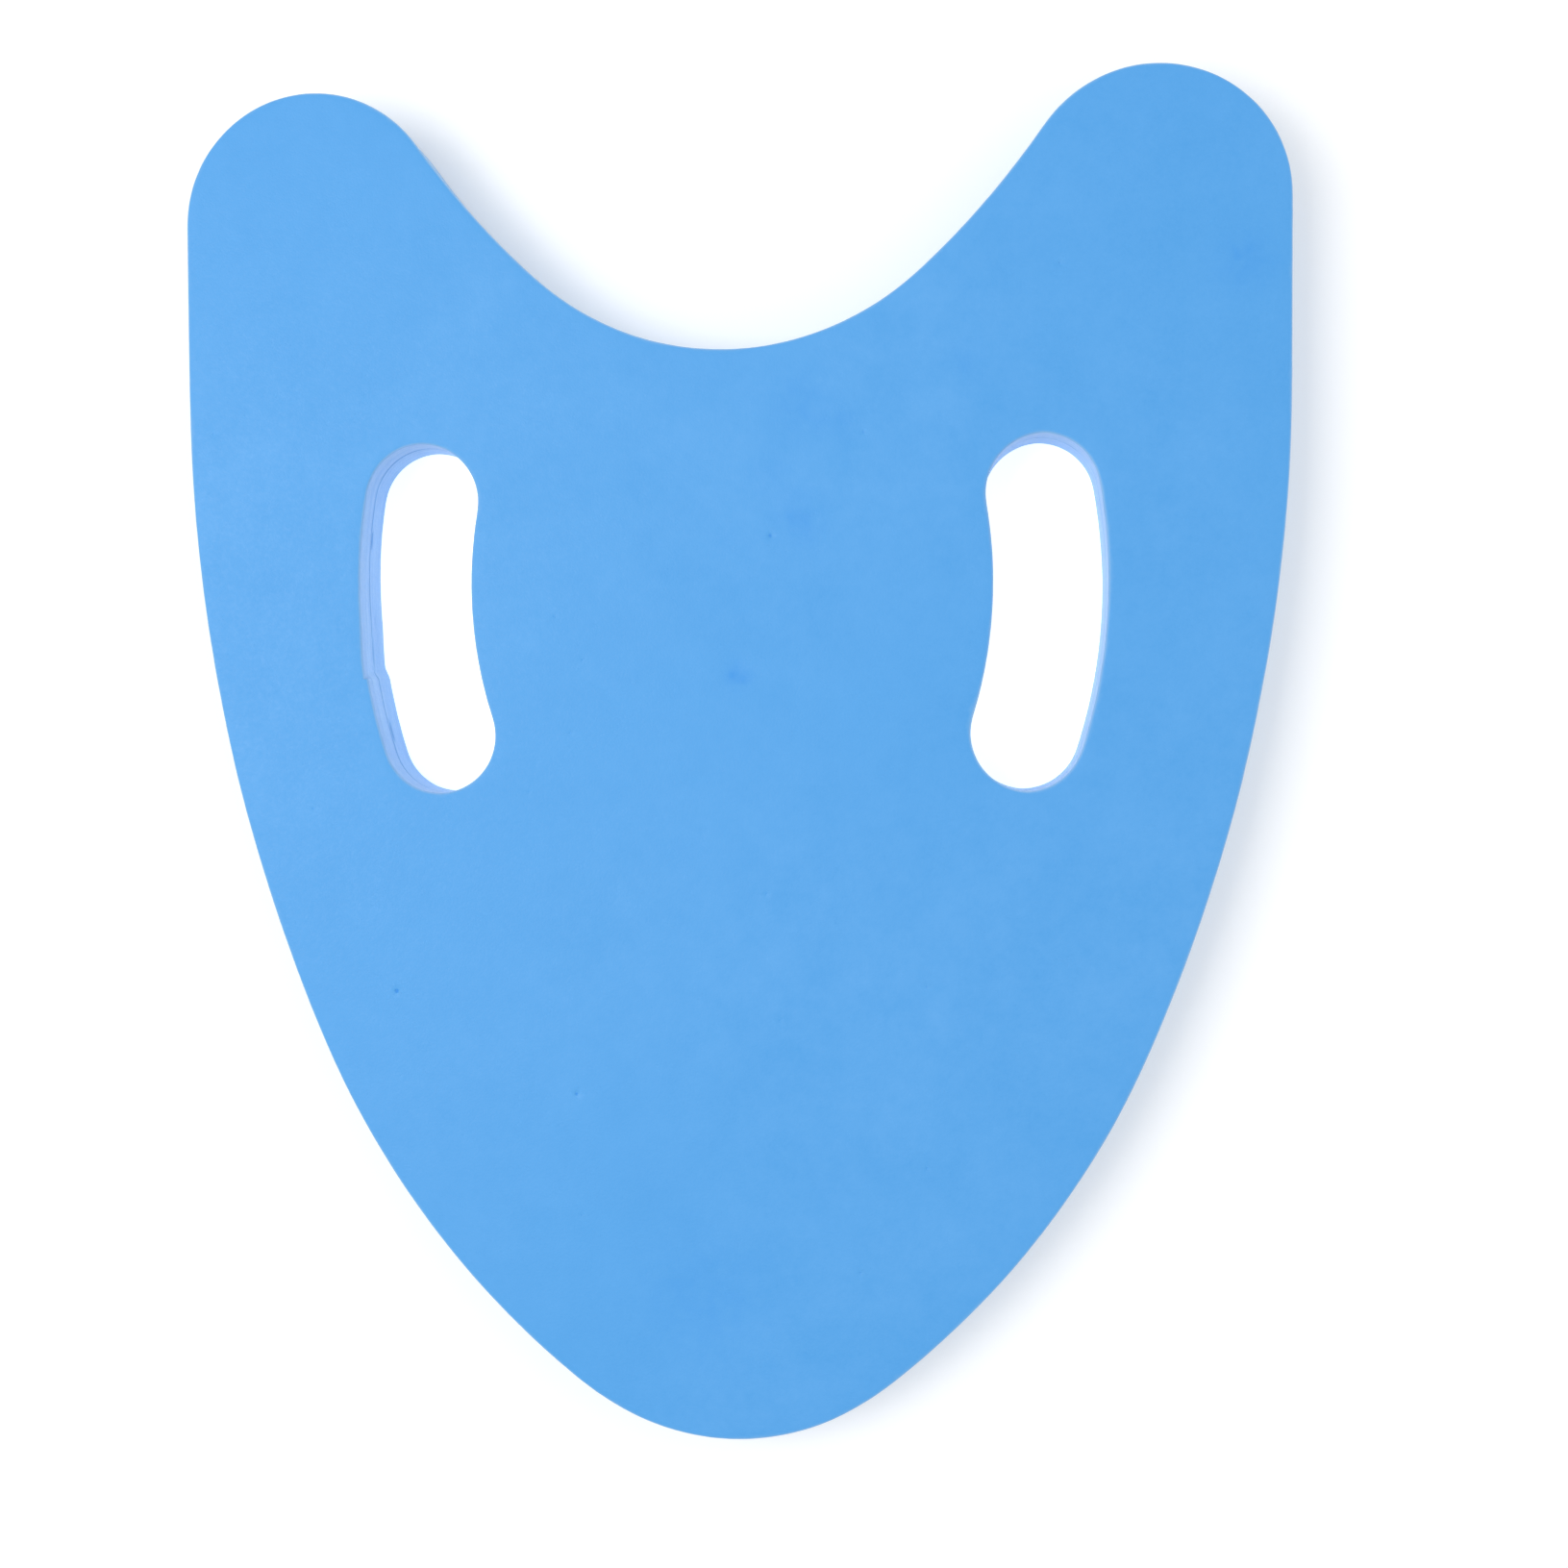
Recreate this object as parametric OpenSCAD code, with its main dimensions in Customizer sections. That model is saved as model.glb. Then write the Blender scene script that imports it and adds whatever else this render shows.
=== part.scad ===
// Swimming kickboard cut from foam: a shield shape with two horns, a rounded tip and two hand slots.
// Two foam sheets are bonded face to face by a film of glue, and the outline and slots are cut through both.
// The board lies flat: X across it, +Y towards the horns, +Z up, with its underside at z = 0.

/* [Board] */
// Width across the straight sides
board_w = 311; // [306:1:316]
// Length from the tip to the tops of the horns
board_l = 385; // [380:1:392]
// Thickness of the finished board
board_t = 25; // [16:1:40]

/* [Layers] */
// Share of the thickness that the upper sheet takes
upper_share = 0.48; // [0.3:0.01:0.7]
// Thickness of the glue film between the sheets
glue_t = 0.3; // [0.2:0.05:0.5]

/* [Tip and sides] */
// Radius of the rounded tip
tip_r = 66; // [62:1:69]
// Turn of the tip's arc on each side of the middle, in degrees
tip_turn = 29; // [27:0.5:31]
// Radius of the short arc that leads the tip into the side
cheek_r = 93; // [85:1:100]
// Turn of that short arc
cheek_turn = 10; // [9:0.5:11]
// Radius of the lower half of the side
lower_side_r = 248; // [240:1:255]
// Turn of the lower half of the side
lower_side_turn = 28; // [27:0.5:29]

/* [Horns and notch] */
// Radius of the round horn ends
horn_r = 37; // [34:1:39]
// Turn of a horn's arc, from the straight side round to the notch
horn_turn = 145; // [143:0.5:147]
// Radius of the shallow hollow between a horn and the notch
neck_r = 230; // [200:5:260]
// Turn of that hollow
neck_turn = 13; // [11:0.5:15]

/* [Hand slots] */
// Width of a slot, which is also the diameter of its round ends
slot_w = 33; // [26:0.5:36]
// Radius of the arc along the middle of a slot
slot_arc_r = 141; // [135:1:150]
// How far the centre of the right slot's arc lies past the board's middle line
slot_arc_x = 51; // [48:1:54]
// Distance of that centre above the middle of the board's length
slot_arc_y = 51.5; // [45:0.5:58]
// Angle of the arc's lower end, below level
slot_down = 17.5; // [12:0.5:20]
// Angle of the arc's upper end, above level
slot_up = 10; // [6:0.5:14]

/* [Hidden] */

foam_blue = [0.40, 0.69, 0.95];
glue_grey = [0.62, 0.72, 0.82];

// Furthest that a chord may stray from its arc
flatness = 0.02;

// Heights of the layers
upper_t = board_t * upper_share;
lower_t = board_t - upper_t - glue_t;

// An outline is a path of arcs. A place on it is a state, [x, y, heading in degrees].
// A positive radius and turn bear left and a negative pair bears right, so a path that goes round
// the board anticlockwise bulges outwards on the positive arcs and hollows inwards on the negative ones.
function arc_centre(state, r) = [state.x - r * sin(state.z), state.y + r * cos(state.z)];
function after_arc(state, r, turn) =
    let (centre = arc_centre(state, r), heading = state.z + turn)
    [centre.x + r * sin(heading), centre.y - r * cos(heading), heading];

// Points along an arc from its start on. The end is left to what follows.
function arc_points(state, r, turn) =
    let (steps = ceil(abs(turn) / (2 * acos(1 - flatness / abs(r)))))
    [for (i = [0:steps - 1]) let (place = after_arc(state, r, turn * i / steps)) [place.x, place.y]];

// Right side of the board, from the tip up to its widest point
tip_start = [0, -board_l / 2, 0];
tip_end = after_arc(tip_start, tip_r, tip_turn);
cheek_end = after_arc(tip_end, cheek_r, cheek_turn);
lower_side_end = after_arc(cheek_end, lower_side_r, lower_side_turn);

// The upper half of the side is the arc that comes square to the width just at the widest point.
upper_side_turn = 90 - lower_side_end.z;
upper_side_r = (board_w / 2 - lower_side_end.x) / (1 - sin(lower_side_end.z));
upper_side_end = after_arc(lower_side_end, upper_side_r, upper_side_turn);

// A straight stretch leads on to the horn, and a shallow hollow from the horn to the notch.
horn_start = [board_w / 2, board_l / 2 - horn_r, 90];
horn_end = after_arc(horn_start, horn_r, horn_turn);
neck_end = after_arc(horn_end, -neck_r, -neck_turn);

// The notch is the one arc, centred on the middle line, that joins both hollows smoothly.
notch_turn = neck_end.z - 180;
notch_r = neck_end.x / sin(notch_turn);
notch_bottom = [0, arc_centre(neck_end, -notch_r).y - notch_r];

right_edge = concat(
    arc_points(tip_start, tip_r, tip_turn),
    arc_points(tip_end, cheek_r, cheek_turn),
    arc_points(cheek_end, lower_side_r, lower_side_turn),
    arc_points(lower_side_end, upper_side_r, upper_side_turn),
    [[upper_side_end.x, upper_side_end.y]],
    arc_points(horn_start, horn_r, horn_turn),
    arc_points(horn_end, -neck_r, -neck_turn),
    arc_points(neck_end, -notch_r, -notch_turn)
);
left_edge = [for (i = [len(right_edge) - 1:-1:1]) [-right_edge[i].x, right_edge[i].y]];

// Right hand slot, from the lower end of its outer wall round by the upper end
slot_turn = slot_down + slot_up;
slot_outer_r = slot_arc_r + slot_w / 2;
slot_inner_r = slot_arc_r - slot_w / 2;
outer_wall_start = [
    slot_outer_r * cos(slot_down) - slot_arc_x,
    slot_arc_y - slot_outer_r * sin(slot_down),
    90 - slot_down
];
outer_wall_end = after_arc(outer_wall_start, slot_outer_r, slot_turn);
inner_wall_start = after_arc(outer_wall_end, slot_w / 2, 180);
inner_wall_end = after_arc(inner_wall_start, -slot_inner_r, -slot_turn);

module board_outline() {
    polygon(concat(right_edge, [notch_bottom], left_edge));
}

module hand_slot() {
    polygon(concat(
        arc_points(outer_wall_start, slot_outer_r, slot_turn),
        arc_points(outer_wall_end, slot_w / 2, 180),
        arc_points(inner_wall_start, -slot_inner_r, -slot_turn),
        arc_points(inner_wall_end, slot_w / 2, 180)
    ));
}

// One layer of the board, cut through by the outline and both slots
module cut_layer(bottom, thickness) {
    translate([0, 0, bottom]) linear_extrude(thickness) difference() {
        board_outline();
        hand_slot();
        mirror([1, 0]) hand_slot();
    }
}

module lower_foam_sheet() {
    color(foam_blue) cut_layer(0, lower_t);
}

module glue_film() {
    color(glue_grey) cut_layer(lower_t, glue_t);
}

module upper_foam_sheet() {
    color(foam_blue) cut_layer(lower_t + glue_t, upper_t);
}

upper_foam_sheet();
glue_film();
lower_foam_sheet();
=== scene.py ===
"""A foam swimming kickboard: the looks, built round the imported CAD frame.

Both foam sheets are rebuilt as dense meshes along the CAD's own cut lines. They get softened rims, faces
that aren't quite flat, and walls that show how a blade went through them. The glue film between them is
rebuilt with an uneven edge, a little way inside the walls.
Lengths in the shape functions are in millimetres. Meshes, lights and the camera are in metres.
"""

import math
import random

import bpy
import numpy as np
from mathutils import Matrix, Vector, geometry, kdtree, noise


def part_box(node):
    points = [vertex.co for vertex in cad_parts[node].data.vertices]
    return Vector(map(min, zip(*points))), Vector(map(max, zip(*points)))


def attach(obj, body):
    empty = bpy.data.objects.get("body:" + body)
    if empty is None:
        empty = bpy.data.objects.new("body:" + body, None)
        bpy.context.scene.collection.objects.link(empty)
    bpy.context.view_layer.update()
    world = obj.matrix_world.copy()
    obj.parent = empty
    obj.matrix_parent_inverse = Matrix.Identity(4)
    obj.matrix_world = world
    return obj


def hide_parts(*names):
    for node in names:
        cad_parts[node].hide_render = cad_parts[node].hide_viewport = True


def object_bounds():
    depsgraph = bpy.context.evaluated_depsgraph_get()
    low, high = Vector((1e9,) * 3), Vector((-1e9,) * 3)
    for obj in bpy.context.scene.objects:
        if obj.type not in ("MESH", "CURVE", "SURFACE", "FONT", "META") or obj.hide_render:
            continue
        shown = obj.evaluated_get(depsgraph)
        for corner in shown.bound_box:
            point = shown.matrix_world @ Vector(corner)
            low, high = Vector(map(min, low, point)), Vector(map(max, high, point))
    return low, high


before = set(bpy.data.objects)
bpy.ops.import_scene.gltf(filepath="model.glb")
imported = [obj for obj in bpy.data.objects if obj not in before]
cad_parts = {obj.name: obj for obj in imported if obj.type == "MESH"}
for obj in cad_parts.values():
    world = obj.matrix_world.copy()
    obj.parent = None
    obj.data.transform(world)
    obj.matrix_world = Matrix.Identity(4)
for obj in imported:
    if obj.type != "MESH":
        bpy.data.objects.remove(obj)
cad_low, cad_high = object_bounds()

MM = 0.001

# Heights of the layers, from the CAD
BOARD_T = cad_high.z / MM
GLUE_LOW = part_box("glue_film")[0].z / MM
GLUE_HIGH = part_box("glue_film")[1].z / MM

# Spacing of the points along the cut lines, over the outer faces, and over the faces hidden in the seam
OUTLINE_STEP = 1.3
SLOT_STEP = 0.9
FACE_STEP = 1.9
HIDDEN_STEP = 12.0

# Rim: its radius, the rows of points round it, and how the foam's cut colour takes over down it
RIM_R = 0.8
RIM_ROWS = 5
CUT_RISE = 1.3
CUT_AT_TOP = 0.3

# Wall: the height of its rows, finer near the seam, and of the lip where the sheet turns in to the seam
WALL_ROW = 0.95
FINE_ROW = 0.34
FINE_REACH = 2.5
LIP_DEPTH = 0.6
LIP_INSET = 0.34
LIP_ROWS = (0.4, 0.7, 0.9, 1.0)
LIP_POWER = 2.4

# Depth of the hollow that a blade leaves halfway up a wall
HOLLOW = 0.16

# Noise on the walls: amplitude, length along the wall, height across it, and a seed
WALL_NOISE = [(0.13, 38, 55, 0), (0.035, 17, 1.5, 3), (0.03, 3.1, 4.5, 7)]

# Depth at which a wall no longer follows the waves of the face over it
FACE_FADE = 6.0

# How far the blade kept inside each slot's CAD line: on the inner wall, by the board's middle, on the outer
# wall, by its side, and at the ends towards the horns and the tip. The outer wall leans, so its foot stands
# out by that much more at the wall's end towards the tip, and at its end towards the horns. The lean changes
# from one to the other over the reach past FOOT_TURN_Y.
LEFT_SLOT_CUT = {
    "inner": 0.0,
    "outer": 0.5,
    "horn_end": 0.35,
    "tip_end": -0.2,
    "foot_by_tip": 0.7,
    "foot_by_horn": -0.2,
}
RIGHT_SLOT_CUT = {
    "inner": 0.7,
    "outer": 0.75,
    "horn_end": 0.45,
    "tip_end": -0.2,
    "foot_by_tip": -0.45,
    "foot_by_horn": -0.35,
}
FOOT_TURN_Y = 15
FOOT_TURN_REACH = 70

# The blade's start and stop in the left slot's outer wall, which is the part of the slot past LEFT_OUTER_X:
# its place, half the gap between its two points, its depth, how far it takes to fade out towards the horns,
# and how far the start is spread at the wall's foot
LEFT_OUTER_X = -93
STEP_Y = 25.3
STEP_HALF = 0.1
STEP_OUT = 0.9
STEP_FADE = 18.0
STEP_RAMP = 4.5

# Torn slits in that wall: y, z, half length and depth
LEFT_SLITS = [
    (66.0, 11.5, 2.2, 0.8),
    (10.0, 11.2, 2.8, 0.7),
    (33.0, 12.2, 4.5, 0.35),
    (42.5, 9.6, 2.0, 0.3),
]
SLIT_HALF_HEIGHT = 0.42
# Painted shade in the torn slits, darker where they are deeper
SLIT_SHADE = 0.9

# How open the seam is: its mean and swing, how sharply it swings, and the length of its changes
GAP_MEAN = 0.68
GAP_SWING = 0.32
GAP_SHARPNESS = 1.8
GAP_LENGTH = 13

# Edge of the glue film: how far it stays back at its faces and at half its height, and how it was squeezed
GLUE_BACK = 0.1
GLUE_MIDDLE_BACK = 0.05
GLUE_SQUEEZE = 0.1
GLUE_SQUEEZE_LENGTH = 5.5

# Keeps the noise on one cut line apart from the next
LINE_SEED = 17.3


# ---------------------------------------------------------------- cut lines

def cut_lines(node):
    """The closed lines round a CAD sheet's top face: the outline, the left slot and the right slot.
    Each runs with the foam on its left."""
    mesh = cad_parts[node].data
    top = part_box(node)[1].z
    fineness = 1e-6
    sides = set()
    for face in mesh.polygons:
        corners = [mesh.vertices[i].co for i in face.vertices]
        if all(abs(corner.z - top) < fineness for corner in corners):
            keys = [(round(c.x / fineness), round(c.y / fineness)) for c in corners]
            sides.update(zip(keys, keys[1:] + keys[:1]))
    following = {a: b for a, b in sides if (b, a) not in sides}
    lines = []
    while following:
        start = min(following)
        line = [start]
        at = following.pop(start)
        while at != start:
            line.append(at)
            at = following.pop(at)
        lines.append(np.array(line) * fineness / MM)
    outline = max(lines, key=lambda line: np.ptp(line[:, 0]))
    slots = sorted((line for line in lines if line is not outline), key=lambda line: line[:, 0].mean())
    return outline, slots[0], slots[1]


def evenly(line, step, smoothings=3):
    """The closed line with points about step apart, its chords smoothed into curves."""
    closed = np.vstack([line, line[:1]])
    run = np.concatenate([[0], np.cumsum(np.linalg.norm(np.diff(closed, axis=0), axis=1))])
    count = round(run[-1] / step)
    at = np.arange(count) * run[-1] / count
    points = np.column_stack([np.interp(at, run, closed[:, axis]) for axis in (0, 1)])
    for _ in range(smoothings):
        points = (np.roll(points, 1, axis=0) + 2 * points + np.roll(points, -1, axis=0)) / 4
    return points


def with_blade_step(line):
    """The left slot's line with two points close to each other where the blade's start and stop meet."""
    far_side = line[:, 0] < line[:, 0].mean()
    crossing = far_side & ((line[:, 1] - STEP_Y) * (np.roll(line[:, 1], -1) - STEP_Y) < 0)
    at = int(np.nonzero(crossing)[0][0])
    start, end = line[at], line[(at + 1) % len(line)]
    down = math.copysign(STEP_HALF, start[1] - end[1])
    share = (np.array([STEP_Y + down, STEP_Y - down]) - start[1]) / (end[1] - start[1])
    return np.insert(line, at + 1, start + share[:, None] * (end - start), axis=0)


def towards_air(line):
    """Unit vectors square to the line, pointing away from the foam."""
    along = np.roll(line, -1, axis=0) - np.roll(line, 1, axis=0)
    along /= np.linalg.norm(along, axis=1)[:, None]
    return np.column_stack([along[:, 1], -along[:, 0]])


# ---------------------------------------------------------------- how the cut walls stray

def eased(share):
    """From 0 to 1 along a smooth curve as share goes from 0 to 1."""
    share = min(max(share, 0.0), 1.0)
    return share * share * (3 - 2 * share)


def wobble(x, y, z, along, across, seed):
    """Smooth noise from about -1 to 1, with features that long along the wall and that high across it."""
    return noise.noise(Vector((x / along + seed, y / along - seed, z / across)))


def torn(y, z):
    """How deep the narrow torn slits along the left slot's outer wall are."""
    return sum(
        depth * math.exp(-(((y - mid_y) / half_length) ** 4) - ((z - mid_z) / SLIT_HALF_HEIGHT) ** 2)
        for mid_y, mid_z, half_length, depth in LEFT_SLITS
    )


def blade_step(y, z):
    """How much deeper the blade cut the left slot's outer wall past its start: at once by the top face, and
    more slowly towards the foot."""
    past = y - STEP_Y
    if past <= 0:
        return 0.0
    ramp = STEP_RAMP * (1 - z / BOARD_T)
    begun = eased(past / ramp) if past < ramp else 1.0
    return STEP_OUT * begun * (1 - eased(past / STEP_FADE))


def slot_stray(x, y, z, air_x, air_y, slot_cut):
    """How far a slot's wall that faces (air_x, air_y) stands inside its CAD line."""
    to_middle = -air_x if x > 0 else air_x
    turned = eased((y - FOOT_TURN_Y) / FOOT_TURN_REACH)
    foot = slot_cut["foot_by_tip"] * (1 - turned) + slot_cut["foot_by_horn"] * turned
    outer = slot_cut["outer"] + foot * (1 - z / BOARD_T)
    side = outer * max(0.0, to_middle) + slot_cut["inner"] * max(0.0, -to_middle)
    end = slot_cut["horn_end"] * max(0.0, -air_y) + slot_cut["tip_end"] * max(0.0, air_y)
    return side + end


def stray(x, y, z, air_x, air_y, number):
    """How far the wall cut along line 0, 1 or 2 stands out towards the air from the CAD's wall."""
    seed = LINE_SEED * number
    out = -HOLLOW * math.sin(math.pi * z / BOARD_T)
    for amplitude, along, across, apart in WALL_NOISE:
        out += amplitude * wobble(x, y, z, along, across, seed + apart)
    if number == 1:
        out += slot_stray(x, y, z, air_x, air_y, LEFT_SLOT_CUT)
        if x < LEFT_OUTER_X:
            out -= blade_step(y, z) + torn(y, z)
    elif number == 2:
        out += slot_stray(x, y, z, air_x, air_y, RIGHT_SLOT_CUT)
    return out


def seam_gap(x, y, number):
    """How open the seam is at a place along a wall, up to 1."""
    swing = GAP_SHARPNESS * wobble(x, y, 0, GAP_LENGTH, 1, LINE_SEED * number + 11)
    return GAP_MEAN + GAP_SWING * max(-1.0, min(1.0, swing))


# ---------------------------------------------------------------- how the faces stray

# Waves of a face, from slow to fine: height, length and a seed
FACE_NOISE = [(0.09, 52, 0), (0.03, 15, 5), (0.014, 4.6, 9)]

# Height of the highest waves over the face's mean, by which the face is kept down
WAVE_TOP = 0.11

# How far the face rolls over towards a rim, and from how far
ROLL_DEPTH = 0.08
ROLL_REACH = 1.9

# Marks on the upper face, stains and one painted shadow: x, y, radius, depth and how much darker it looks
UPPER_DENTS = [
    (2.4, 28.0, 3.2, 0.26, 0.2),
    # Painted shadow: a dark spot on the dent above, on its side towards the tip, where its shade falls; it
    # is barely a dent itself
    (2.7, 24.8, 3.2, 0.02, 2.4),
    (20, 69, 7.0, 0.05, 1.3),
    (12, 82, 5.0, 0.04, 0.7),
    (33, 96, 4.5, 0.05, 0.6),
    (21, 100, 9.0, 0.03, 0.9),
    (67, 112, 5.0, 0.05, 0.6),
    (143, 138, 7.0, 0.05, 1.5),
    (-8, -152, 18.0, 0.06, 0.8),
]
UPPER_PITS = [
    (-96.4, -64.5, 0.62, 0.45, 1.0),
    (-44.3, -93.7, 0.45, 0.3, 0.7),
    (12.0, 64.6, 0.5, 0.3, 0.7),
]

# Rings of points in a pit: distance from its middle in radii, share of its depth, and number of points
PIT_RINGS = [(0, 1.0, 1), (0.45, 0.9, 6), (0.85, 0.35, 10), (1.3, 0.0, 12)]

# How much darker the bottom of a pit looks than a dent of the same shade
PIT_DARKNESS = 2

# Distance that scattered marks keep from each other and from the cuts
MARK_CLEARANCE = 5.0


def scattered(seed, count, lines, radii, depths, shade):
    """Seeded marks of random size on the foam, clear of each other and of every cut."""
    draw = random.Random(seed)
    outline, *slots = lines
    low, high = outline.min(axis=0), outline.max(axis=0)
    taken = np.vstack(lines)
    marks = []
    while len(marks) < count:
        place = np.array([draw.uniform(low[0], high[0]), draw.uniform(low[1], high[1])])
        clear = np.linalg.norm(taken - place, axis=1).min() > MARK_CLEARANCE
        if clear and on_foam(place[None], outline, slots)[0]:
            radius = draw.uniform(*radii)
            depth = draw.uniform(*depths)
            marks.append((*place, radius, depth, shade * draw.uniform(0.4, 1)))
            taken = np.vstack([taken, place])
    return marks


def face_stray(x, y, to_rim, seed, dents):
    """How far the face stands over its plane, never above 0: waves, dents and a rolled-over rim."""
    waves = sum(height * wobble(x, y, 0, length, 1, seed + apart) for height, length, apart in FACE_NOISE)
    dented = sum(
        depth * math.exp(-((x - mark_x) ** 2 + (y - mark_y) ** 2) / (radius * radius))
        for mark_x, mark_y, radius, depth, _ in dents
    )
    rolled = ROLL_DEPTH * math.exp(-((to_rim / ROLL_REACH) ** 2))
    return min(0.0, waves - WAVE_TOP) - dented - rolled


def face_shade(x, y, dents):
    """How much darker the face is made by its marks: stains, and the painted shadow beside one dent."""
    ragged = 0.65 + 0.7 * wobble(x, y, 0, 3.4, 1, 21) + 0.5 * wobble(x, y, 0, 1.7, 1, 33)
    # Stains, and the painted shadow beside one dent
    stains_and_painted_shade = sum(
        shade * math.exp(-((x - mark_x) ** 2 + (y - mark_y) ** 2) / (radius * radius))
        for mark_x, mark_y, radius, _, shade in dents
    )
    return max(0.0, stains_and_painted_shade * ragged)


# ---------------------------------------------------------------- meshes

def inside(points, line):
    """Which points lie inside the closed line."""
    result = np.zeros(len(points), dtype=bool)
    ends = np.roll(line, -1, axis=0)
    for (x0, y0), (x1, y1) in zip(line, ends):
        if y0 != y1:
            spans = (points[:, 1] < y0) != (points[:, 1] < y1)
            crossing_x = x0 + (points[:, 1] - y0) * (x1 - x0) / (y1 - y0)
            result ^= spans & (points[:, 0] < crossing_x)
    return result


def on_foam(points, outline, slots):
    """Which points lie inside the outline and outside the slots."""
    result = inside(points, outline)
    for slot in slots:
        result &= ~inside(points, slot)
    return result


def tree_of(points):
    """The points in the plane, ready to be asked which is the nearest."""
    tree = kdtree.KDTree(len(points))
    for i, (x, y) in enumerate(points):
        tree.insert((x, y, 0), i)
    tree.balance()
    return tree


def hex_grid(low, high, step):
    """Points of a triangular grid over a rectangle."""
    rise = step * math.sqrt(3) / 2
    rows = []
    for row, y in enumerate(np.arange(low[1], high[1], rise)):
        x = np.arange(low[0] + (row % 2) * step / 2, high[0], step)
        rows.append(np.column_stack([x, np.full(len(x), y)]))
    return np.vstack(rows)


def pit_rings(pits):
    """Points in rings round each pit, with the share of its depth and shade that each point has."""
    points, depths, shades = [], [], []
    for x, y, radius, depth, shade in pits:
        for reach, share, count in PIT_RINGS:
            for i in range(count):
                angle = 2 * math.pi * (i + 0.3) / count
                points.append((x + reach * radius * math.cos(angle), y + reach * radius * math.sin(angle)))
                depths.append(depth * share)
                shades.append(shade * min(1.0, share * 1.5))
    return np.array(points).reshape(-1, 2), np.array(depths), np.array(shades)


class FoamMesh:
    """Collects the points and faces of one closed foam sheet or film, with the two values that its material
    reads at each point: cut, from 0 on a face to 1 on a cut wall, and shade, how much it is darkened by
    stains and pits, and by painted shade in the torn slits and beside one dent."""

    def __init__(self):
        self.points = []
        self.cut = []
        self.shade = []
        self.faces = []

    def add(self, points, cut, shade):
        """Adds points and returns their numbers."""
        first = len(self.points)
        self.points.extend(points)
        self.cut.extend(cut)
        self.shade.extend(shade)
        return np.arange(first, len(self.points))

    def wall(self, rings, face_up):
        """Joins rings of point numbers, from the outer face inwards. face_up says if that face looks up."""
        for near, far in zip(rings, rings[1:]):
            quads = np.column_stack([near, np.roll(near, -1), np.roll(far, -1), far])
            if face_up:
                quads = quads[:, ::-1]
            self.faces.extend(quads.tolist())

    def fill(self, borders, spare, face_up):
        """Covers the area between the border rings, through the spare points, with triangles."""
        numbers = np.concatenate(borders + [spare])
        flat = [Vector(self.points[i][:2]) for i in numbers]
        edges = []
        first = 0
        for border in borders:
            ring = list(range(first, first + len(border)))
            edges.extend(zip(ring, ring[1:] + ring[:1]))
            first += len(border)
        fitted = geometry.delaunay_2d_cdt(flat, edges, [], 0, 1e-7)
        places, triangles, origins = fitted[0], fitted[2], fitted[3]
        if len(places) != len(flat):
            raise ValueError("the cut lines cross each other")
        own = np.array([numbers[origin[0]] for origin in origins])
        triangles = np.array(triangles)
        flat = np.array(places)
        middles = flat[triangles].mean(axis=1)
        outline, *slots = [np.array([self.points[i][:2] for i in border]) for border in borders]
        on_border = np.array([origin[0] < first for origin in origins])
        doubtful = on_border[triangles].all(axis=1)
        kept = ~doubtful
        kept[doubtful] = on_foam(middles[doubtful], outline, slots)
        triangles = triangles[kept]
        corners = flat[triangles]
        sides = corners[:, 1:] - corners[:, :1]
        turns_left = sides[:, 0, 0] * sides[:, 1, 1] - sides[:, 0, 1] * sides[:, 1, 0] > 0
        wrong = turns_left != face_up
        triangles[wrong] = triangles[wrong][:, ::-1]
        self.faces.extend(own[triangles].tolist())

    def object(self, name, material):
        """The finished object, in metres."""
        mesh = bpy.data.meshes.new(name)
        mesh.from_pydata((np.array(self.points) * MM).tolist(), [], self.faces)
        for attribute, values in (("cut", self.cut), ("shade", self.shade)):
            mesh.attributes.new(attribute, "FLOAT", "POINT").data.foreach_set("value", values)
        mesh.shade_smooth()
        mesh.set_sharp_from_angle(angle=math.radians(55))
        mesh.materials.append(material)
        mesh.validate()
        made = bpy.data.objects.new(name, mesh)
        bpy.context.scene.collection.objects.link(made)
        return made


def row_depths(thickness):
    """Depth below the face, inset from the wall and share of the seam's lip, for each row down a wall."""
    rows = []
    for i in range(RIM_ROWS + 1):
        angle = math.pi / 2 * i / RIM_ROWS
        rows.append((RIM_R * (1 - math.cos(angle)), RIM_R * (1 - math.sin(angle)), 0.0))
    fine_start = thickness - FINE_REACH
    lip_start = thickness - LIP_DEPTH
    coarse = math.ceil((fine_start - RIM_R) / WALL_ROW)
    rows += [(RIM_R + (fine_start - RIM_R) * (i + 1) / coarse, 0.0, 0.0) for i in range(coarse)]
    fine = math.ceil((lip_start - fine_start) / FINE_ROW)
    rows += [(fine_start + (lip_start - fine_start) * (i + 1) / fine, 0.0, 0.0) for i in range(fine)]
    rows += [(lip_start + LIP_DEPTH * share, 0.0, share ** LIP_POWER) for share in LIP_ROWS]
    return rows


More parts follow.
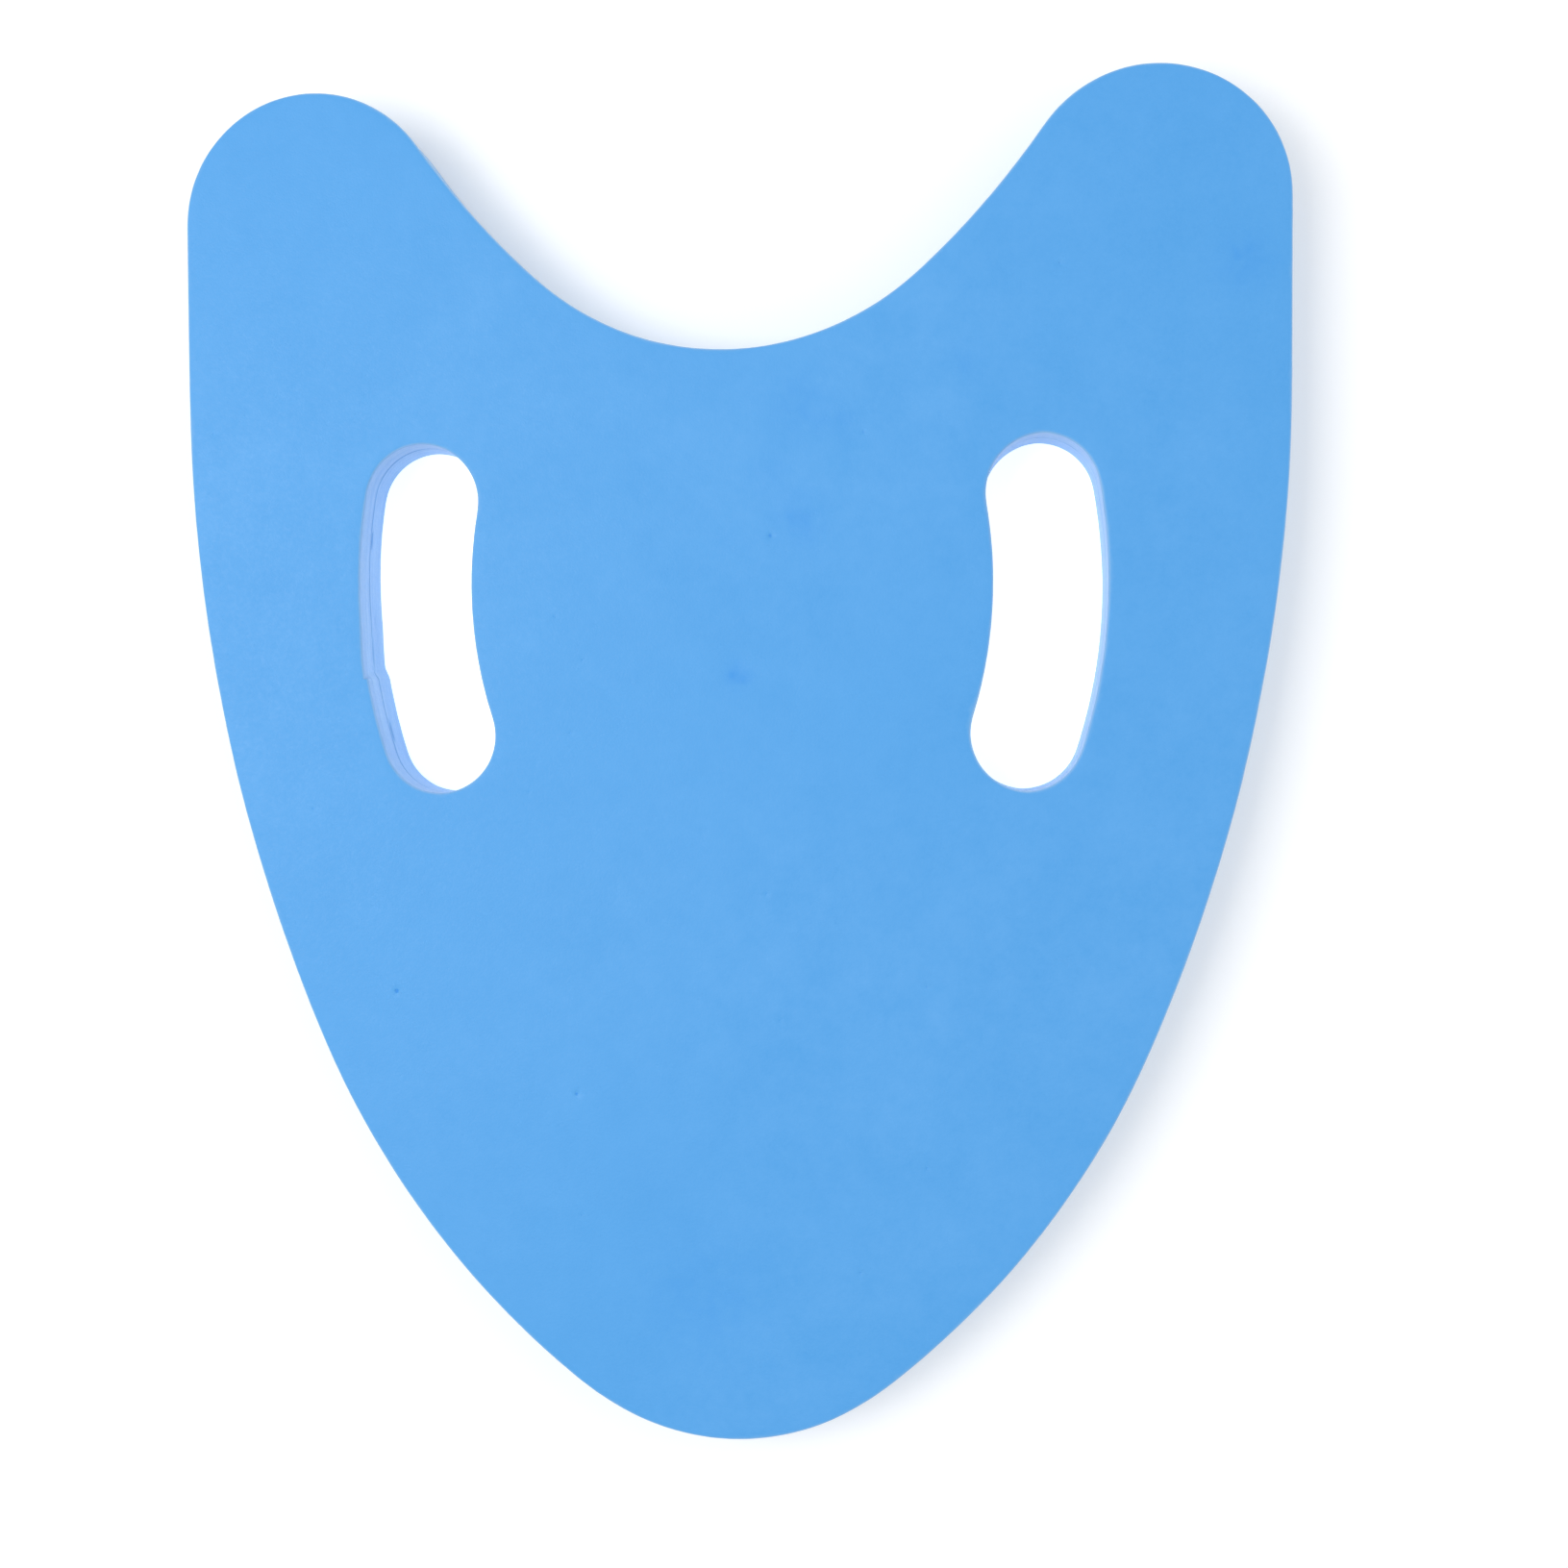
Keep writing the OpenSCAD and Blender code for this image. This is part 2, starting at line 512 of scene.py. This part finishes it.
def sheet_walls(made, lines, face_z, seam_z, seed, dents):
    """Adds a foam sheet's walls to its mesh. Returns their rings of points at the face and at the seam."""
    face_up = face_z > seam_z
    outward = 1 if face_up else -1
    rows = row_depths(abs(face_z - seam_z))
    rims, seams = [], []
    for number, line in enumerate(lines):
        air = towards_air(line)
        rings = []
        for depth, inset, lip in rows:
            z = face_z - outward * depth
            ring, cut, shade = [], [], []
            for (x, y), (air_x, air_y) in zip(line, air):
                gap = seam_gap(x, y, number) if lip else 0.0
                out = stray(x, y, z, air_x, air_y, number) - inset - LIP_INSET * lip * gap
                fade = max(0.0, 1 - depth / FACE_FADE)
                lift = face_stray(x, y, 0, seed, dents) * fade if fade else 0.0
                ring.append((x + out * air_x, y + out * air_y, z + outward * lift))
                cut.append(eased(depth / RIM_R * CUT_RISE + CUT_AT_TOP))
                # Painted shade in the torn slits of the left slot's outer wall
                shade.append(SLIT_SHADE * torn(y, z) if number == 1 and x < LEFT_OUTER_X else 0.0)
            rings.append(made.add(ring, cut, shade))
        made.wall(rings, face_up)
        rims.append(rings[0])
        seams.append(rings[-1])
    return rims, seams


def foam_sheet(name, lines, face_z, seam_z, seed, dents, pits, material):
    """One foam sheet between its outer face and the seam, cut along the lines."""
    face_up = face_z > seam_z
    outward = 1 if face_up else -1
    made = FoamMesh()
    rims, seams = sheet_walls(made, lines, face_z, seam_z, seed, dents)
    outline, *slots = [np.array([made.points[i][:2] for i in rim]) for rim in rims]
    near_rim = tree_of(np.vstack([outline] + slots))
    pit_points, pit_depths, pit_shades = pit_rings(pits)
    near_pit = tree_of(pit_points)

    # The face: an even grid that keeps off the rims and the pits, and the pits' own rings
    spare, shades = [], []
    low, high = outline.min(axis=0), outline.max(axis=0)
    grid = hex_grid(low, high, FACE_STEP)
    for x, y in grid[on_foam(grid, outline, slots)]:
        to_rim = near_rim.find((x, y, 0))[2]
        if to_rim > FACE_STEP * 0.55 and near_pit.find((x, y, 0))[2] > FACE_STEP * 0.4:
            spare.append((x, y, face_z + outward * face_stray(x, y, to_rim, seed, dents)))
            shades.append(face_shade(x, y, dents))
    for (x, y), depth, shade in zip(pit_points, pit_depths, pit_shades):
        to_rim = near_rim.find((x, y, 0))[2]
        spare.append((x, y, face_z + outward * (face_stray(x, y, to_rim, seed, dents) - depth)))
        shades.append(face_shade(x, y, dents) + shade * PIT_DARKNESS)
    made.fill(rims, made.add(spare, [0.0] * len(spare), shades), face_up)

    # The face in the seam
    grid = hex_grid(low, high, HIDDEN_STEP)
    grid = grid[on_foam(grid, outline, slots)]
    hidden = [(x, y, seam_z) for x, y in grid if near_rim.find((x, y, 0))[2] > HIDDEN_STEP / 3]
    made.fill(seams, made.add(hidden, [1.0] * len(hidden), [0.0] * len(hidden)), not face_up)
    return made.object(name, material)


def glue_layer(name, lines, material):
    """The film of glue. Its edge lies a little way inside the walls and follows how open the seam is."""
    made = FoamMesh()
    rings_low, rings_high = [], []
    for number, line in enumerate(lines):
        air = towards_air(line)
        rings = []
        middle = (GLUE_LOW + GLUE_HIGH) / 2
        for z, back in ((GLUE_HIGH, GLUE_BACK), (middle, GLUE_MIDDLE_BACK), (GLUE_LOW, GLUE_BACK)):
            ring = []
            for (x, y), (air_x, air_y) in zip(line, air):
                gap = seam_gap(x, y, number)
                seed = LINE_SEED * number + 40
                squeezed = GLUE_SQUEEZE * wobble(x, y, 0, GLUE_SQUEEZE_LENGTH, 1, seed)
                out = stray(x, y, GLUE_LOW, air_x, air_y, number) - LIP_INSET * gap + squeezed - back
                ring.append((x + out * air_x, y + out * air_y, z))
            rings.append(made.add(ring, [1.0] * len(ring), [0.0] * len(ring)))
        made.wall(rings, True)
        rings_high.append(rings[0])
        rings_low.append(rings[-1])
    nothing = np.array([], dtype=int)
    made.fill(rings_high, nothing, True)
    made.fill(rings_low, nothing, False)
    return made.object(name, material)


# ---------------------------------------------------------------- materials

def new_material(name):
    """An empty material and the helper that adds and links its nodes."""
    material = bpy.data.materials.new(name)
    material.use_nodes = True
    tree = material.node_tree
    tree.nodes.clear()

    def node(kind, settings=None, inputs=None):
        """Adds a node. Inputs are plain values, or sockets of other nodes to link."""
        made = tree.nodes.new(kind)
        for key, value in (settings or {}).items():
            setattr(made, key, value)
        for key, value in (inputs or {}).items():
            socket = made.inputs[key]
            if isinstance(value, bpy.types.NodeSocket):
                tree.links.new(value, socket)
            else:
                socket.default_value = value
        return made

    return material, node


def mixed(node, factor, first, second, blend="MIX"):
    """The colour that mixes first and second by factor."""
    made = node("ShaderNodeMix", {"data_type": "RGBA", "blend_type": blend, "clamp_factor": True})
    for index, value in ((0, factor), (6, first), (7, second)):
        if isinstance(value, bpy.types.NodeSocket):
            made.id_data.links.new(value, made.inputs[index])
        else:
            made.inputs[index].default_value = value
    return made.outputs[2]


def maths(node, operation, first, second):
    """The result of one sum on two values or sockets."""
    return node("ShaderNodeMath", {"operation": operation}, {0: first, 1: second}).outputs[0]


def stretched(node, value, old_low, old_high, new_low, new_high):
    """A value carried from one range to another, and held inside it."""
    inputs = {
        "Value": value,
        "From Min": old_low,
        "From Max": old_high,
        "To Min": new_low,
        "To Max": new_high,
    }
    return node("ShaderNodeMapRange", {"clamp": True}, inputs).outputs["Result"]


def noise_of(node, where, size, detail=2.0, roughness=0.5):
    """Noise whose features are about size metres across."""
    inputs = {"Vector": where, "Scale": 1 / size, "Detail": detail, "Roughness": roughness}
    return node("ShaderNodeTexNoise", {}, inputs).outputs["Fac"]


def bumped(node, height, strength, distance):
    """The normal of a surface with that relief, distance metres deep."""
    inputs = {"Strength": strength, "Distance": distance, "Height": height}
    return node("ShaderNodeBump", {}, inputs).outputs["Normal"]


def foam_material(name):
    """Closed-cell foam: a fine matt grain on its skived faces, paler and streaked where it is cut."""
    material, node = new_material(name)
    where = node("ShaderNodeTexCoord").outputs["Object"]
    cut = node("ShaderNodeAttribute", {"attribute_name": "cut"}).outputs["Fac"]
    shade = node("ShaderNodeAttribute", {"attribute_name": "shade"}).outputs["Fac"]

    # Face: slow clouds, mottling from the size of a palm down to a few millimetres, and grain
    clouds = noise_of(node, where, 0.11, 2.0)
    mottle = noise_of(node, where, 0.03, 4.5, 0.88)
    grain = noise_of(node, where, 0.0011, 2.0, 0.6)
    cells = node("ShaderNodeTexVoronoi", {}, {"Vector": where, "Scale": 1 / 0.0006}).outputs["Distance"]
    face = mixed(node, stretched(node, clouds, 0.3, 0.7, 0, 1), FACE_DEEP, FACE_PALE)
    face = mixed(node, stretched(node, mottle, 0.3, 0.7, 0, 1), face, FACE_MOTTLE)
    face = mixed(node, stretched(node, grain, 0.3, 0.7, 0, 0.22), face, FACE_GRAIN)

    # Cut: streaks along the blade's path, which are long across the board and short in height
    flat = node("ShaderNodeMapping", {}, {"Vector": where, "Scale": (0.035, 0.035, 1.0)}).outputs["Vector"]
    streaks = noise_of(node, flat, 0.0019, 3.0, 0.65)
    smears = noise_of(node, where, 0.009, 2.0)
    wall = mixed(node, stretched(node, streaks, 0.34, 0.66, 0, 1), CUT_DEEP, CUT_PALE)
    wall = mixed(node, stretched(node, smears, 0.35, 0.7, 0, 0.4), wall, CUT_SMEAR)
    ragged = maths(node, "ADD", cut, stretched(node, mottle, 0.3, 0.7, -0.12, 0.12))
    colour = mixed(node, stretched(node, ragged, 0.2, 0.8, 0, 1), face, wall)
    # Darker where shade is set: stains, the bottoms of pits, and painted shade in the torn slits and beside
    # one dent
    colour = mixed(node, stretched(node, shade, 0, 2.5, 0, 1), colour, STAIN_AND_PAINTED_SHADE)

    # Relief: closed cells everywhere, blade streaks on the walls
    pores = stretched(node, cells, 0.0, 0.8, 0.0, 1.0)
    relief = maths(node, "MULTIPLY", maths(node, "ADD", pores, grain), 0.5)
    lines = maths(node, "MULTIPLY", streaks, stretched(node, cut, 0.5, 1.0, 0.0, 1.6))
    height = maths(node, "ADD", relief, lines)
    bump = bumped(node, height, 0.55, 0.00012)

    dull = stretched(node, grain, 0.3, 0.7, 0.46, 0.60)
    roughness = maths(node, "SUBTRACT", dull, stretched(node, cut, 0.5, 1.0, 0.0, 0.08))
    shader = node(
        "ShaderNodeBsdfPrincipled",
        {},
        {"Base Color": colour, "Roughness": roughness, "Specular IOR Level": 0.5, "Normal": bump},
    )
    node("ShaderNodeOutputMaterial", {}, {"Surface": shader.outputs["BSDF"]})
    return material


def glue_material(name):
    """Dried contact glue: greyish, a little glossy and uneven."""
    material, node = new_material(name)
    where = node("ShaderNodeTexCoord").outputs["Object"]
    patches = noise_of(node, where, 0.004, 3.0, 0.6)
    colour = mixed(node, stretched(node, patches, 0.3, 0.7, 0, 1), GLUE_DEEP, GLUE_PALE)
    roughness = stretched(node, patches, 0.3, 0.7, 0.3, 0.55)
    bump = bumped(node, patches, 0.4, 0.0001)
    shader = node(
        "ShaderNodeBsdfPrincipled", {}, {"Base Color": colour, "Roughness": roughness, "Normal": bump}
    )
    node("ShaderNodeOutputMaterial", {}, {"Surface": shader.outputs["BSDF"]})
    return material


def floor_material(name):
    """White paper that glows a little. It glows more under each slot, so that the slots look bright down to
    it, and far from the board, so that it meets the backdrop without a line."""
    material, node = new_material(name)
    where = node("ShaderNodeTexCoord").outputs["Object"]
    from_board = node("ShaderNodeVectorMath", {"operation": "LENGTH"}, {0: where}).outputs["Value"]
    glow = stretched(node, from_board, FAR_START, FAR_END, FLOOR_GLOW, FAR_GLOW)
    for middle_x in (-SLOT_MIDDLE[0], SLOT_MIDDLE[0]):
        spread = {
            "Vector": where,
            "Location": (-middle_x / SLOT_GLOW_REACH[0], -SLOT_MIDDLE[1] / SLOT_GLOW_REACH[1], 0),
            "Scale": (1 / SLOT_GLOW_REACH[0], 1 / SLOT_GLOW_REACH[1], 1),
        }
        placed = node("ShaderNodeMapping", {}, spread).outputs["Vector"]
        distance = node("ShaderNodeVectorMath", {"operation": "LENGTH"}, {0: placed}).outputs["Value"]
        glow = maths(node, "ADD", glow, stretched(node, distance, 0.75, 1.0, SLOT_GLOW, 0.0))
    inputs = {
        "Base Color": FLOOR_WHITE,
        "Roughness": 0.9,
        "Emission Color": FLOOR_WHITE,
        "Emission Strength": glow,
    }
    shader = node("ShaderNodeBsdfPrincipled", {}, inputs)
    node("ShaderNodeOutputMaterial", {}, {"Surface": shader.outputs["BSDF"]})
    return material


# Colours, linear, with alpha
FACE_DEEP = (0.073, 0.362, 0.801, 1)
FACE_PALE = (0.101, 0.389, 0.824, 1)
FACE_MOTTLE = (0.065, 0.346, 0.778, 1)
FACE_GRAIN = (0.107, 0.395, 0.82, 1)
CUT_DEEP = (0.215, 0.460, 0.785, 1)
CUT_PALE = (0.295, 0.540, 0.835, 1)
CUT_SMEAR = (0.242, 0.470, 0.815, 1)
# Colour of stains, and of painted shade in the torn slits and beside one dent
STAIN_AND_PAINTED_SHADE = (0.042, 0.305, 0.785, 1)
GLUE_DEEP = (0.20, 0.36, 0.66, 1)
GLUE_PALE = (0.30, 0.47, 0.74, 1)
FLOOR_WHITE = (0.92, 0.92, 0.92, 1)

# Glow of the floor by the board and far from it, and the distances in metres between which it changes
FLOOR_GLOW = 0.16
FAR_GLOW = 0.5
FAR_START = 0.7
FAR_END = 2.0

# Glow that a slot's floor has besides, the middle of the right slot, and how far the glow reaches, in metres
SLOT_GLOW = 0.56
SLOT_MIDDLE = (0.0895, 0.0424)
SLOT_GLOW_REACH = (0.042, 0.075)


# ---------------------------------------------------------------- the board

outline, left_slot, right_slot = cut_lines("upper_foam_sheet")
cuts = [
    evenly(outline, OUTLINE_STEP),
    with_blade_step(evenly(left_slot, SLOT_STEP)),
    evenly(right_slot, SLOT_STEP),
]
foam = foam_material("foam")

upper_dents = UPPER_DENTS + scattered(11, 8, cuts, radii=(2.0, 5.0), depths=(0.03, 0.09), shade=0.25)
upper_pits = UPPER_PITS + scattered(5, 14, cuts, radii=(0.25, 0.4), depths=(0.08, 0.16), shade=0.25)
lower_dents = scattered(23, 14, cuts, radii=(2.0, 6.0), depths=(0.03, 0.16), shade=0.4)
lower_pits = scattered(31, 18, cuts, radii=(0.25, 0.5), depths=(0.1, 0.3), shade=0.5)

upper_sheet = foam_sheet("upper_sheet", cuts, BOARD_T, GLUE_HIGH, 0.0, upper_dents, upper_pits, foam)
lower_sheet = foam_sheet("lower_sheet", cuts, 0.0, GLUE_LOW, 60.0, lower_dents, lower_pits, foam)
glue = glue_layer("glue_layer", cuts, glue_material("glue"))

for piece, node_name, slot_name in (
    (upper_sheet, "upper_foam_sheet", "foam"),
    (lower_sheet, "lower_foam_sheet", "foam"),
    (glue, "glue_film", "glue"),
):
    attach(piece, "root")
    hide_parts(node_name)


# ---------------------------------------------------------------- floor, light and camera

def rectangle(name, half, z, material):
    """A flat square on the floor."""
    mesh = bpy.data.meshes.new(name)
    corners = [(-half, -half, z), (half, -half, z), (half, half, z), (-half, half, z)]
    mesh.from_pydata(corners, [], [(0, 1, 2, 3)])
    mesh.materials.append(material)
    made = bpy.data.objects.new(name, mesh)
    bpy.context.scene.collection.objects.link(made)
    return made


def softbox(name, place, size, power):
    """A large square lamp that points at the board."""
    data = bpy.data.lights.new(name, "AREA")
    data.shape = "SQUARE"
    data.size = size
    data.energy = power
    lamp = bpy.data.objects.new(name, data)
    lamp.location = place
    lamp.rotation_euler = (-Vector(place)).to_track_quat("-Z", "Y").to_euler()
    bpy.context.scene.collection.objects.link(lamp)


FLOOR_HALF = 4.0
FLOOR_GAP = 0.0003
WORLD_STRENGTH = 0.66

# The camera looks almost straight down, from over the board's right half. Its turn is in degrees.
CAMERA_PLACE = (0.0500, 0.0137, 0.6210)
CAMERA_TURN = (-1.838, 5.664, -0.366)
CAMERA_LENS = 48.63
CAMERA_SHIFT = 0.0558

scene = bpy.context.scene
rectangle("floor", FLOOR_HALF, -FLOOR_GAP, floor_material("floor"))
softbox("key", place=(-0.74, 0.08, 1.4), size=0.8, power=10.2)
softbox("fill", place=(1.5, 0.5, 1.1), size=1.6, power=5)

# The backdrop is white to the camera, and lights the board a little less than that
world = bpy.data.worlds.new("studio")
world.use_nodes = True
backdrop = world.node_tree.nodes["Background"]
backdrop.inputs["Color"].default_value = (1, 1, 1, 1)
seen = world.node_tree.nodes.new("ShaderNodeLightPath").outputs["Is Camera Ray"]
strength = world.node_tree.nodes.new("ShaderNodeMapRange")
strength.inputs["To Min"].default_value = WORLD_STRENGTH
strength.inputs["To Max"].default_value = 1.0
world.node_tree.links.new(seen, strength.inputs["Value"])
world.node_tree.links.new(strength.outputs["Result"], backdrop.inputs["Strength"])
scene.world = world
scene.view_settings.view_transform = "Standard"

camera_data = bpy.data.cameras.new("camera")
camera_data.sensor_width = 36
camera_data.lens = CAMERA_LENS
camera_data.shift_x = CAMERA_SHIFT
camera_data.clip_start = 0.05
camera_data.clip_end = 30
camera = bpy.data.objects.new("camera", camera_data)
camera.location = CAMERA_PLACE
camera.rotation_euler = [math.radians(turn) for turn in CAMERA_TURN]
scene.collection.objects.link(camera)
scene.camera = camera
